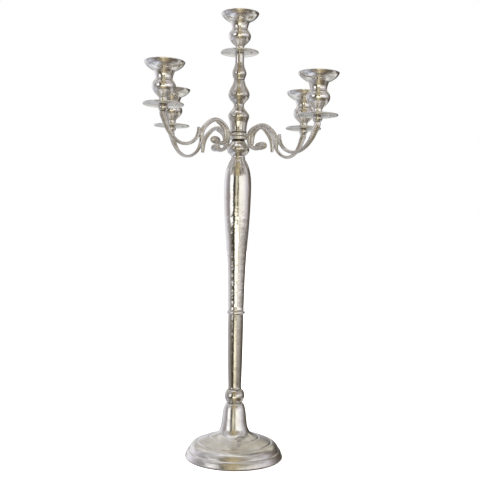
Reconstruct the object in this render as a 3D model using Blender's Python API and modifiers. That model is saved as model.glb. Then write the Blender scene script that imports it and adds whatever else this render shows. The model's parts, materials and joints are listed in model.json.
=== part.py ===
"""Five-light tabletop candelabra of nickel-plated cast metal, as separate bench-assembled pieces.

One tie rod clamps the whole stand: base, knop, lower stem, ring, baluster, hub bulb, two double-arm
castings stacked crosswise, and the centre column.  Every light is a drip pan and a candle cup held
down by a threaded stud.  Sizes are in millimetres and become metres when a mesh is made.
The frame's origin is the middle of the base's underside, +Z is up and -Y is the front.
"""
import math

import bmesh
import bpy
from mathutils import Vector

MM = 0.001
GAP = 0.3                      # clearance between pieces that touch on the real object

# Stand: heights where one turned piece meets the next, from the table upwards.
FELT_TOP = 1.2
BASE_BOTTOM = FELT_TOP + GAP
BASE_TOP = 97.2
KNOP_TOP = 121.0
LOWER_STEM_TOP = 256.5
JOINT_RING_TOP = 262.3
BALUSTER_TOP = 541.8
HUB_TOP = 571.1
EYE_THICKNESS = 6.0
LOWER_EYE_MIDDLE = HUB_TOP + GAP + EYE_THICKNESS / 2
UPPER_EYE_MIDDLE = LOWER_EYE_MIDDLE + EYE_THICKNESS + 0.4
COLUMN_BOTTOM = UPPER_EYE_MIDDLE + EYE_THICKNESS / 2 + GAP
COLUMN_TOP = 679.0
TOP_PAN_HEIGHT = 728.3         # underside of the top drip pan

# Tie rod and what it clamps.
ROD_RADIUS = 4.0
BORE_RADIUS = 4.4
ROD_BOTTOM = 12.0
ROD_TOP = 606.0
CEILING = 30.0                 # flat inside the base that the washer bears on
WASHER_THICKNESS = 2.6
NUT_THICKNESS = 6.5
NUT_RADIUS = 7.5

# Arms: both castings share one outline, drawn in the plane of the arm from the tie rod's axis.
ARM_REACH = 168.0
PAN_DROP = 30.6                # a light's pan sits this far above the middle of its eye
EYE_RADIUS = 15.0
LOWER_PAIR_AZIMUTH = -38.8     # front right to back left, degrees from +X
UPPER_PAIR_AZIMUTH = 221.3     # front left to back right
LOWER_PAIR_LIFT = -1.2         # the castings lean a little: lift of the front arm, degrees
UPPER_PAIR_LIFT = 1.3
ARCH = [(25.0, -6, 4.2), (26.0, 3.5, 4.2), (30.6, 10.8, 4.0), (38, 16.6, 3.7), (46, 20.0, 3.5),
        (55, 20.4, 3.6), (63.5, 17.4, 3.8), (71.5, 11.8, 4.1), (78.5, 5, 4.3), (83, -3, 4.2),
        (84.8, -12, 3.8), (85.2, -23.5, 2.9)]
SWEEP = [(91.4, 3, 2.8), (91.8, -6, 3.3), (95, -14.5, 3.3), (101.5, -21.8, 3.1), (110, -26.8, 2.9),
         (119, -29, 2.8), (129, -28.6, 2.9), (139, -24.8, 3.2), (149, -17.4, 3.8), (158, -6, 4.7),
         (164.5, 7.5, 5.5), (167.6, 14.5, 5.8), (168, 17.4, 5.9), (168, 19.6, 5.9)]
RIB = [(31.6, -8, 3.6), (31.8, -1, 4.0), (33.4, 5, 3.9), (37.5, 10, 3.6), (43.5, 14, 3.1),
       (50, 16.6, 2.6)]
CURL = [(25.2, -4, 4.1), (26.4, -11, 4.0), (30.6, -16.2, 3.8), (37.5, -19.4, 3.6), (45, -19.8, 3.5),
        (51, -17.8, 3.8)]
CURL_KNOB = (53.4, -15.4)      # middle of the rolled end
CURL_KNOB_SIZE = (11.2, 5.2, 7.2)
WEB = (88.2, -7.0)             # the metal that joins the two strands side by side
WEB_SIZE = (4.6, 2.9, 8.5)
ROOT_LINK = [(10, 0, 2.6), (19, 0, 2.7), (26.5, 0, 3.2)]

# One light, measured up from the underside of its drip pan.
PAN_RADIUS = 34.5
PAN_HEIGHT = 2.3
PAN_FLOOR = 1.3
STUD_RADIUS = 3.0
STUD_BORE = 3.35
STUD_BOTTOM = -9.3
STUD_TOP = 11.0
CUP_FOOT = PAN_FLOOR + GAP
CUP_TOP = 71.7
CUP_RIM = 34.8
SOCKET_RADIUS = 11.8           # takes a 22 mm candle
SOCKET_FLOOR = 30.0
COLLAR_HEIGHT = 10.3

COLLECTION = "tabletop_candelabra"
FINISHES = {
    "nickel_polished": ((0.72, 0.69, 0.64, 1), 0.16, 1.0),
    "nickel_satin": ((0.62, 0.60, 0.56, 1), 0.34, 1.0),
    "nickel_cast": ((0.50, 0.48, 0.45, 1), 0.42, 1.0),
    "steel_hardware": ((0.42, 0.42, 0.43, 1), 0.38, 1.0),
    "felt": ((0.16, 0.08, 0.05, 1), 0.95, 0.0),
}


def clear_scene():
    """Remove every object that is already in the file."""
    for old in list(bpy.data.objects):
        bpy.data.objects.remove(old, do_unlink=True)


def collection(name):
    """Return a new collection linked to the scene."""
    made = bpy.data.collections.new(name)
    bpy.context.scene.collection.children.link(made)
    return made


def finish(name):
    """Return the Principled material of one named finish."""
    if name in bpy.data.materials:
        return bpy.data.materials[name]
    colour, roughness, metallic = FINISHES[name]
    made = bpy.data.materials.new(name)
    made.use_nodes = True
    shader = made.node_tree.nodes["Principled BSDF"]
    shader.inputs["Base Color"].default_value = colour
    shader.inputs["Roughness"].default_value = roughness
    shader.inputs["Metallic"].default_value = metallic
    return made


def place(obj, parts, parent=None, location=(0, 0, 0), rotation=(0, 0, 0)):
    """Link an object, parent it and put it at a location in millimetres."""
    parts.objects.link(obj)
    obj.parent = parent
    obj.location = Vector(location) * MM
    obj.rotation_euler = rotation
    return obj


def turned(name, outline, material, parts, steps=20, closed=False, **where):
    """Turn an outline of (radius, height) points that runs down its outer side about Z."""
    mesh = bpy.data.meshes.new(name)
    points = [(p[0] * MM, 0.0, p[1] * MM) for p in outline]
    edges = [(i, i + 1) for i in range(len(points) - 1)]
    if closed:
        edges.append((len(points) - 1, 0))
    mesh.from_pydata(points, edges, [])
    mesh.materials.append(finish(material))
    obj = bpy.data.objects.new(name, mesh)
    place(obj, parts, **where)
    screw = obj.modifiers.new("turn", "SCREW")
    screw.axis = "Z"
    screw.steps = steps
    screw.render_steps = steps
    screw.use_merge_vertices = True
    screw.merge_threshold = 0.00001
    screw.use_smooth_shade = True
    return obj


def bored(name, outline, material, parts, bore=BORE_RADIUS, steps=20, **where):
    """Turn a ring piece: the outline runs down outside and the bore goes straight through."""
    ring = list(outline) + [(bore, outline[-1][1]), (bore, outline[0][1])]
    return turned(name, ring, material, parts, steps=steps, closed=True, **where)


def tube(name, route, cutters, parent, flip):
    """Bend a round bar along (reach, height, radius) points in the plane of an arm."""
    curve = bpy.data.curves.new(name, "CURVE")
    curve.dimensions = "3D"
    curve.bevel_depth = MM
    curve.bevel_resolution = 2
    curve.use_fill_caps = True
    spline = curve.splines.new("POLY")
    spline.points.add(len(route) - 1)
    for point, (reach, height, radius) in zip(spline.points, route):
        point.co = (flip * reach * MM, 0.0, height * MM, 1.0)
        point.radius = radius
    guide = bpy.data.objects.new(name, curve)
    place(guide, cutters, parent=parent)
    bpy.context.view_layer.update()
    graph = bpy.context.evaluated_depsgraph_get()
    solid = bpy.data.meshes.new_from_object(guide.evaluated_get(graph))
    where = guide.matrix_world.copy()
    bpy.data.objects.remove(guide)
    return weld(name, solid, where, cutters)


def weld(name, mesh, where, cutters):
    """Weld a mesh's loose caps and keep it as a guide object at a world place."""
    work = bmesh.new()
    work.from_mesh(mesh)
    bmesh.ops.remove_doubles(work, verts=work.verts, dist=0.000001)
    bmesh.ops.recalc_face_normals(work, faces=work.faces)
    work.to_mesh(mesh)
    work.free()
    obj = bpy.data.objects.new(name, mesh)
    cutters.objects.link(obj)
    obj.matrix_world = where
    hide(obj)
    return obj


def hide(obj):
    """Mark an object as a guide that is no part of the model."""
    obj.hide_render = True
    obj.display_type = "WIRE"


def lump(name, middle, size, cutters, parent, flip):
    """Return an ellipsoid guide of half-sizes (reach, width, height) in the plane of an arm."""
    bpy.ops.mesh.primitive_uv_sphere_add(segments=12, ring_count=7, radius=MM)
    obj = bpy.context.object
    obj.name = name
    for vertex in obj.data.vertices:
        vertex.co = Vector(vertex.co[i] * size[i] for i in range(3))
    for holder in list(obj.users_collection):
        holder.objects.unlink(obj)
    place(obj, cutters, parent=parent, location=(flip * middle[0], 0, middle[1]))
    hide(obj)
    return obj


def empty(name, parts, parent=None, location=(0, 0, 0), rotation=(0, 0, 0)):
    """Return an empty that carries other pieces."""
    return place(bpy.data.objects.new(name, None), parts, parent, location, rotation)


def arm_pair(name, height, azimuth, lift, parts, cutters):
    """Make one double-arm casting and return the empty that carries its two lights."""
    pivot = empty(name + "_pivot", parts, location=(0, 0, height),
                  rotation=(0, 0, math.radians(azimuth)))
    lean = empty(name + "_lean", parts, parent=pivot, rotation=(0, math.radians(-lift), 0))
    half = EYE_THICKNESS / 2
    edge = EYE_RADIUS - 0.8
    outline = [(edge, half), (EYE_RADIUS, half - 0.8), (EYE_RADIUS, 0.8 - half), (edge, -half)]
    eye = bored(name, outline, "nickel_cast", parts, bore=BORE_RADIUS, parent=pivot)
    for side, flip in (("front", 1), ("back", -1)):
        pieces = [
            tube(f"{name}_{side}_link", ROOT_LINK, cutters, lean, flip),
            tube(f"{name}_{side}_arch", ARCH, cutters, lean, flip),
            tube(f"{name}_{side}_rib", RIB, cutters, lean, flip),
            tube(f"{name}_{side}_sweep", SWEEP, cutters, lean, flip),
            tube(f"{name}_{side}_curl", CURL, cutters, lean, flip),
            lump(f"{name}_{side}_knob", CURL_KNOB, CURL_KNOB_SIZE, cutters, lean, flip),
            lump(f"{name}_{side}_web", WEB, WEB_SIZE, cutters, lean, flip),
        ]
        for piece in pieces:
            union = eye.modifiers.new(piece.name, "BOOLEAN")
            union.operation = "UNION"
            union.solver = "EXACT"
            union.object = piece
    return lean


def light(place_name, parts, parent, location):
    """Make one light: its drip pan, threaded stud and candle cup."""
    seat = empty(place_name + "_seat", parts, parent=parent, location=location)
    pan = [(PAN_RADIUS - 1.1, PAN_HEIGHT), (PAN_RADIUS, PAN_HEIGHT - 1.0), (PAN_RADIUS, 0.2),
           (PAN_RADIUS - 1.1, -0.5), (PAN_RADIUS - 4.0, 0.0), (STUD_BORE, 0.0),
           (STUD_BORE, PAN_FLOOR), (PAN_RADIUS - 4.2, PAN_FLOOR), (PAN_RADIUS - 2.2, PAN_HEIGHT)]
    turned("drip_pan_" + place_name, pan, "nickel_satin", parts, closed=True, parent=seat)
    stud = [(0, STUD_TOP), (STUD_RADIUS, STUD_TOP), (STUD_RADIUS, STUD_BOTTOM), (0, STUD_BOTTOM)]
    turned("cup_stud_" + place_name, stud, "steel_hardware", parts, steps=12, parent=seat)
    socket = [(0, SOCKET_FLOOR), (SOCKET_RADIUS, SOCKET_FLOOR), (SOCKET_RADIUS, 56.5)]
    dish = [(13.4, 58.8), (22.5, 61.5), (28.8, 66.0), (CUP_RIM - 1.2, CUP_TOP)]
    outside = [(CUP_RIM, CUP_TOP - 0.6), (33.0, 67.6), (28.5, 63.4), (23.2, 59.6), (17.9, 56.8)]
    bulb = [(15.7, 51.6), (14.4, 45.4), (15.2, 41.0), (18.6, 36.2), (20.2, 30.6), (18.8, 24.6),
            (13.0, 17.4), (9.0, 13.6), (7.7, 10.6), (8.3, 5.0)]
    foot = [(9.4, 3.0), (9.4, CUP_FOOT), (STUD_BORE, CUP_FOOT), (STUD_BORE, 13.0), (0, 13.0)]
    turned("candle_cup_" + place_name, socket + dish + outside + bulb + foot, "nickel_polished",
           parts, parent=seat)


def collar(place_name, parts, parent, location):
    """Make the rounded collar that ends an arm and takes the stud of its light."""
    height = COLLAR_HEIGHT - GAP
    outline = [(7.4, 0), (8.3, -1.2), (8.6, -4.0), (8.0, -7.4), (6.6, -height + 0.6), (5.6, -height)]
    hole = [(0, -height), (0, STUD_BOTTOM - GAP), (STUD_BORE, STUD_BOTTOM - GAP), (STUD_BORE, 0)]
    rim = [hole[1], hole[2], hole[3]] + outline + [hole[0]]
    turned("arm_collar_" + place_name, rim, "nickel_polished", parts, steps=12, parent=parent,
           location=(location[0], location[1], location[2] - GAP))


def stand(parts):
    """Make the pieces that the tie rod clamps, from the felt up to the centre column."""
    felt = [(0, FELT_TOP), (85.2, FELT_TOP), (86.0, 0.7), (86.0, 0), (0, 0)]
    turned("base_felt", felt, "felt", parts, steps=32)
    rim = [(87.6, 3.4), (87.6, BASE_BOTTOM), (83.6, BASE_BOTTOM)]
    hollow = [(82.4, 9.0), (76.0, 16.0), (64.0, 20.5), (44.0, 28.0), (24.0, CEILING)]
    trumpet = [(13.8, BASE_TOP), (17.0, 93.6), (19.4, 86.4), (20.9, 79.0), (22.2, 66.4),
               (23.8, 55.6), (26.2, 48.0), (31.0, 41.6), (38.5, 37.8), (44.0, 35.9)]
    plate = [(45.2, 34.6), (47.0, 34.3), (56.0, 31.0), (66.0, 27.2), (67.2, 25.8), (69.0, 25.8),
             (75.0, 23.2), (79.6, 18.9), (81.0, 14.8), (82.4, 12.8), (86.4, 6.0)]
    outline = trumpet + plate + rim + hollow + [(BORE_RADIUS, CEILING), (BORE_RADIUS, BASE_TOP)]
    turned("base_shell", outline, "nickel_satin", parts, steps=32, closed=True)

    knop = [(13.4, KNOP_TOP), (15.0, 119.0), (17.3, 114.6), (18.0, 109.2), (17.3, 103.6),
            (15.4, 99.4), (13.6, BASE_TOP + GAP)]
    bored("stem_knop", knop, "nickel_polished", parts)
    lower = [(13.6, LOWER_STEM_TOP), (13.8, 240.0), (13.6, 215.0), (13.1, 180.0), (12.4, 148.0),
             (11.8, 130.0), (11.8, KNOP_TOP + GAP)]
    bored("lower_stem", lower, "nickel_polished", parts)
    low = LOWER_STEM_TOP + GAP
    ring = [(15.2, JOINT_RING_TOP), (16.5, JOINT_RING_TOP - 1.6), (16.5, low + 1.6), (15.2, low)]
    bored("joint_ring", ring, "nickel_polished", parts)
    body = [(12.3, BALUSTER_TOP), (12.4, 539.4), (13.4, 535.6), (15.8, 531.4), (18.4, 525.4),
            (20.6, 519.4), (22.4, 512.0), (23.7, 503.6), (24.5, 491.0), (24.4, 472.0),
            (23.0, 436.0), (20.6, 400.0), (18.5, 376.0), (16.6, 345.0), (15.4, 315.0),
            (14.6, 285.0), (14.1, JOINT_RING_TOP + GAP)]
    bored("baluster", body, "nickel_polished", parts)
    bulb = [(12.6, HUB_TOP), (13.6, 567.2), (16.4, 562.9), (19.2, 559.0), (20.6, 554.8),
            (20.0, 551.2), (18.0, 547.7), (15.0, 544.6), (12.7, BALUSTER_TOP + GAP)]
    bored("hub_bulb", bulb, "nickel_polished", parts)

    column = [(9.9, COLUMN_TOP), (10.6, 675.4), (12.0, 671.0), (14.8, 665.4), (17.8, 659.4),
              (19.2, 654.4), (19.1, 650.6), (17.9, 646.8), (15.0, 642.8), (11.4, 638.9),
              (9.4, 635.0), (9.4, 631.6), (11.2, 627.4), (15.0, 622.4), (18.0, 618.2),
              (19.1, 614.0), (18.4, 609.8), (16.8, 605.4), (15.6, 600.0), (14.5, 592.0),
              (14.6, COLUMN_BOTTOM + 1.4), (14.2, COLUMN_BOTTOM)]
    hole = [(BORE_RADIUS, COLUMN_BOTTOM), (BORE_RADIUS, ROD_TOP + GAP), (0, ROD_TOP + GAP)]
    turned("centre_column", [(0, COLUMN_TOP)] + column + hole, "nickel_polished", parts)
    top = TOP_PAN_HEIGHT - GAP
    stem = [(8.3, top), (8.2, 710.0), (8.9, 705.0), (10.8, 699.0), (12.6, 694.2), (12.9, 690.6),
            (11.9, 686.0), (10.3, 682.2), (9.9, COLUMN_TOP + GAP), (0, COLUMN_TOP + GAP)]
    deep = top + STUD_BOTTOM
    mouth = [(0, deep), (STUD_BORE, deep), (STUD_BORE, top)]
    turned("top_stem", mouth + stem, "nickel_polished", parts)


def prism(name, sides, radius, height, middle, holder):
    """Return an upright prism of so many sides, centred on the tie rod at a height."""
    bpy.ops.mesh.primitive_cylinder_add(vertices=sides, radius=radius * MM, depth=height * MM)
    obj = bpy.context.object
    obj.name = name
    for old in list(obj.users_collection):
        old.objects.unlink(obj)
    return place(obj, holder, location=(0, 0, middle))


def clamp_hardware(parts, cutters):
    """Make the tie rod with the washer and the nut that pull the stand together."""
    rod = [(0, ROD_TOP), (ROD_RADIUS, ROD_TOP), (ROD_RADIUS, ROD_BOTTOM), (0, ROD_BOTTOM)]
    turned("tie_rod", rod, "steel_hardware", parts, steps=16)
    top = CEILING - GAP
    washer = [(14.0, top), (14.0, top - WASHER_THICKNESS)]
    bored("base_washer", washer, "steel_hardware", parts)
    top -= WASHER_THICKNESS + GAP
    middle = top - NUT_THICKNESS / 2
    nut = prism("base_nut", 6, NUT_RADIUS, NUT_THICKNESS, middle, parts)
    nut.data.materials.append(finish("steel_hardware"))
    drill = prism("nut_drill", 24, BORE_RADIUS, NUT_THICKNESS * 2, middle, cutters)
    hide(drill)
    cut = nut.modifiers.new("bore", "BOOLEAN")
    cut.operation = "DIFFERENCE"
    cut.solver = "EXACT"
    cut.object = drill


def main():
    """Build the whole candelabra."""
    clear_scene()
    parts = collection(COLLECTION)
    cutters = collection("guides")
    clamp_hardware(parts, cutters)
    stand(parts)
    lower = arm_pair("arm_pair_lower", LOWER_EYE_MIDDLE, LOWER_PAIR_AZIMUTH, LOWER_PAIR_LIFT,
                     parts, cutters)
    upper = arm_pair("arm_pair_upper", UPPER_EYE_MIDDLE, UPPER_PAIR_AZIMUTH, UPPER_PAIR_LIFT,
                     parts, cutters)
    for place_name, pair, flip in (("front_right", lower, 1), ("back_left", lower, -1),
                                   ("front_left", upper, 1), ("back_right", upper, -1)):
        spot = (flip * ARM_REACH, 0, PAN_DROP)
        collar(place_name, parts, pair, spot)
        light(place_name, parts, pair, spot)
    light("top", parts, None, (0, 0, TOP_PAN_HEIGHT))


main()
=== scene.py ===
"""Finished look of a five-light tabletop candelabra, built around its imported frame.

Every turned piece is spun from an outline, the arm castings are swept strands fused into one skin,
and all finishes are procedural.  Outlines are in millimetres and become metres when a mesh is made.
"""
import json
import logging
import math
from dataclasses import dataclass
from enum import Enum
from typing import Iterable, Optional, Sequence

import bmesh
import bpy
from mathutils import Matrix, Vector

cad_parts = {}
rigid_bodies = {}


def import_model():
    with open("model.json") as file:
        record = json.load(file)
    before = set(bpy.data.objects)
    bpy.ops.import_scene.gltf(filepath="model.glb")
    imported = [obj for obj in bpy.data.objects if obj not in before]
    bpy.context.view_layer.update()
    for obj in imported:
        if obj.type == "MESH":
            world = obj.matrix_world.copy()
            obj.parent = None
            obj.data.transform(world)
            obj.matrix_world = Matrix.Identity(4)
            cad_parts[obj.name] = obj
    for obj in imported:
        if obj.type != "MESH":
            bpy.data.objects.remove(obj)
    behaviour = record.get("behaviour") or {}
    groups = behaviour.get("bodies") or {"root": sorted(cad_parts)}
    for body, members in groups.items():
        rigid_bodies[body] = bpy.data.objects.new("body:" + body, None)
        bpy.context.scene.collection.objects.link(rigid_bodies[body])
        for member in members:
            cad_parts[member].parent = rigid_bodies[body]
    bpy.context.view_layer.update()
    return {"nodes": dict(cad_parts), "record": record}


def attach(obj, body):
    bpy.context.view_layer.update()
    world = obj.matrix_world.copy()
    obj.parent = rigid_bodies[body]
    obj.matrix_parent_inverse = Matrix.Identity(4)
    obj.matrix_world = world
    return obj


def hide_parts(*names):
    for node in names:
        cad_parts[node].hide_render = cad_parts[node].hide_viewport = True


MM = 0.001
# Millimetres: the bores' radii for the tie rod and the studs, and the arms' eyes below the pans.
ROD_BORE = 4.4
STUD_BORE = 3.35
HUB_DROP = 30.6
# Noise levels between which tarnish and pitted patches come in, and how a pit's edge falls off.
TARNISH_CLOUDS = (0.38, 0.68)
PIT_PATCHES = (0.50, 0.66)
PIT_EDGE = 0.02
PIT_FULL = 0.6
LIGHTS = ("front_left", "front_right", "back_left", "back_right", "top")
LOG = logging.getLogger("candelabra")
Point = tuple[float, float]
Run = Sequence[Point]
Colour = tuple[float, float, float]
Bands = tuple[tuple[float, Colour], ...]


class Slot(Enum):
    """Material slots of the record that a piece can take its finish from."""

    POLISHED = "nickel_polished"
    SATIN = "nickel_satin"
    CAST = "nickel_cast"
    STEEL = "steel_hardware"
    FELT = "felt"


class NodeGraph:
    """A node tree with short ways to add nodes and join them."""

    def __init__(self, tree: bpy.types.NodeTree) -> None:
        """Wrap a node tree."""
        self.tree = tree

    def add(self, kind: str, inputs: Optional[dict] = None, **settings: object) -> bpy.types.Node:
        """Add a node.

        Args:
            kind: the node's type name without its prefix.
            inputs: values or output sockets, by the input's name or number.
            settings: properties to set on the node.

        Returns:
            The new node.
        """
        prefix = "Node" if kind in ("GroupInput", "GroupOutput") else "ShaderNode"
        node = self.tree.nodes.new(prefix + kind)
        for key, value in settings.items():
            setattr(node, key, value)
        for key, value in (inputs or {}).items():
            self.feed(node.inputs[key], value)
        return node

    def feed(self, socket: bpy.types.NodeSocket, value: object) -> None:
        """Link an output to a socket, or set the socket to a plain value.

        Args:
            socket: the input to feed.
            value: an output socket or a plain value.
        """
        if isinstance(value, bpy.types.NodeSocket):
            self.tree.links.new(value, socket)
        else:
            socket.default_value = value

    def math(self, operation: str, first: object, second: object = 0.0) -> bpy.types.NodeSocket:
        """Return the output of a Math node on two values or sockets."""
        node = self.add("Math", {0: first, 1: second}, operation=operation)
        return node.outputs[0]

    def span(self, value: object, low: float, high: float, to_low: float = 0.0,
             to_high: float = 1.0) -> bpy.types.NodeSocket:
        """Return a value moved from one span to another and held inside it."""
        node = self.add("MapRange", {"Value": value, "From Min": low, "From Max": high,
                                     "To Min": to_low, "To Max": to_high})
        return node.outputs["Result"]

    def blend(self, factor: object, first: object, second: object,
              mode: str = "MIX") -> bpy.types.NodeSocket:
        """Return two colours mixed by a factor."""
        node = self.add("MixRGB", {"Fac": factor, "Color1": first, "Color2": second},
                        blend_type=mode)
        return node.outputs["Color"]


def new_group(name: str, inputs: dict[str, str],
              outputs: dict[str, str]) -> tuple[NodeGraph, bpy.types.Node, bpy.types.Node]:
    """Start a shader node group with named sockets.

    Args:
        name: the group's name.
        inputs: socket type by input name.
        outputs: socket type by output name.

    Returns:
        The group's graph with its input and output nodes.
    """
    tree = bpy.data.node_groups.new(name, "ShaderNodeTree")
    for direction, sockets in (("INPUT", inputs), ("OUTPUT", outputs)):
        for label, kind in sockets.items():
            tree.interface.new_socket(name=label, in_out=direction, socket_type="NodeSocket" + kind)
    graph = NodeGraph(tree)
    return graph, graph.add("GroupInput"), graph.add("GroupOutput")


def cast_relief_group() -> bpy.types.NodeTree:
    """Build the height of slow waves, fine grain and turning rings.

    Returns:
        The group's tree, which puts out a Height.
    """
    graph, given, out = new_group(
        "cast_relief",
        {"Vector": "Vector", "Wave Scale": "Float", "Grain Scale": "Float", "Grain": "Float",
         "Ring Spacing": "Float", "Rings": "Float"},
        {"Height": "Float"})
    wave = graph.add("TexNoise", {"Vector": given.outputs["Vector"],
                                  "Scale": given.outputs["Wave Scale"], "Detail": 2.0})
    grain = graph.add("TexNoise", {"Vector": given.outputs["Vector"],
                                   "Scale": given.outputs["Grain Scale"], "Detail": 4.0})
    flat = graph.add("VectorMath", {0: given.outputs["Vector"], 1: (1.0, 1.0, 0.0)},
                     operation="MULTIPLY")
    reach = graph.add("VectorMath", {0: flat.outputs["Vector"]}, operation="LENGTH")
    turns = graph.math("DIVIDE", reach.outputs["Value"], given.outputs["Ring Spacing"])
    ripple = graph.math("SINE", graph.math("MULTIPLY", turns, 2 * math.pi))
    height = graph.math("MULTIPLY", grain.outputs["Fac"], given.outputs["Grain"])
    height = graph.math("ADD", height, wave.outputs["Fac"])
    height = graph.math("ADD", height, graph.math("MULTIPLY", ripple, given.outputs["Rings"]))
    graph.feed(out.inputs["Height"], height)
    return graph.tree


def pitting_group() -> bpy.types.NodeTree:
    """Build the small dark pits of a plated casting.

    Returns:
        The group's tree, which puts out a Mask.
    """
    graph, given, out = new_group(
        "casting_pits", {"Vector": "Vector", "Scale": "Float", "Amount": "Float"},
        {"Mask": "Float"})
    spots = graph.add("TexVoronoi", {"Vector": given.outputs["Vector"],
                                     "Scale": given.outputs["Scale"], "Randomness": 1.0})
    patches = graph.add("TexNoise", {"Vector": given.outputs["Vector"], "Scale": 22.0,
                                     "Detail": 3.0})
    pitted = graph.span(patches.outputs["Fac"], *PIT_PATCHES)
    radius = graph.math("MULTIPLY", pitted, given.outputs["Amount"])
    depth = graph.math("SUBTRACT", radius, spots.outputs["Distance"])
    share = graph.math("DIVIDE", depth, graph.math("ADD", radius, PIT_EDGE))
    graph.feed(out.inputs["Mask"], graph.span(share, 0.0, PIT_FULL))
    return graph.tree


def tarnish_group() -> bpy.types.NodeTree:
    """Mix clean plating with patches of tarnish.

    Returns:
        The group's tree, which puts out a Color and its Mask.
    """
    graph, given, out = new_group(
        "tarnish", {"Vector": "Vector", "Scale": "Float", "Clean": "Color", "Dull": "Color",
                    "Amount": "Float"},
        {"Color": "Color", "Mask": "Float"})
    cloud = graph.add("TexNoise", {"Vector": given.outputs["Vector"],
                                   "Scale": given.outputs["Scale"], "Detail": 5.0,
                                   "Roughness": 0.6})
    mask = graph.math("MULTIPLY", graph.span(cloud.outputs["Fac"], *TARNISH_CLOUDS),
                      given.outputs["Amount"])
    colour = graph.blend(mask, given.outputs["Clean"], given.outputs["Dull"])
    graph.feed(out.inputs["Color"], colour)
    graph.feed(out.inputs["Mask"], mask)
    return graph.tree


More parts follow.
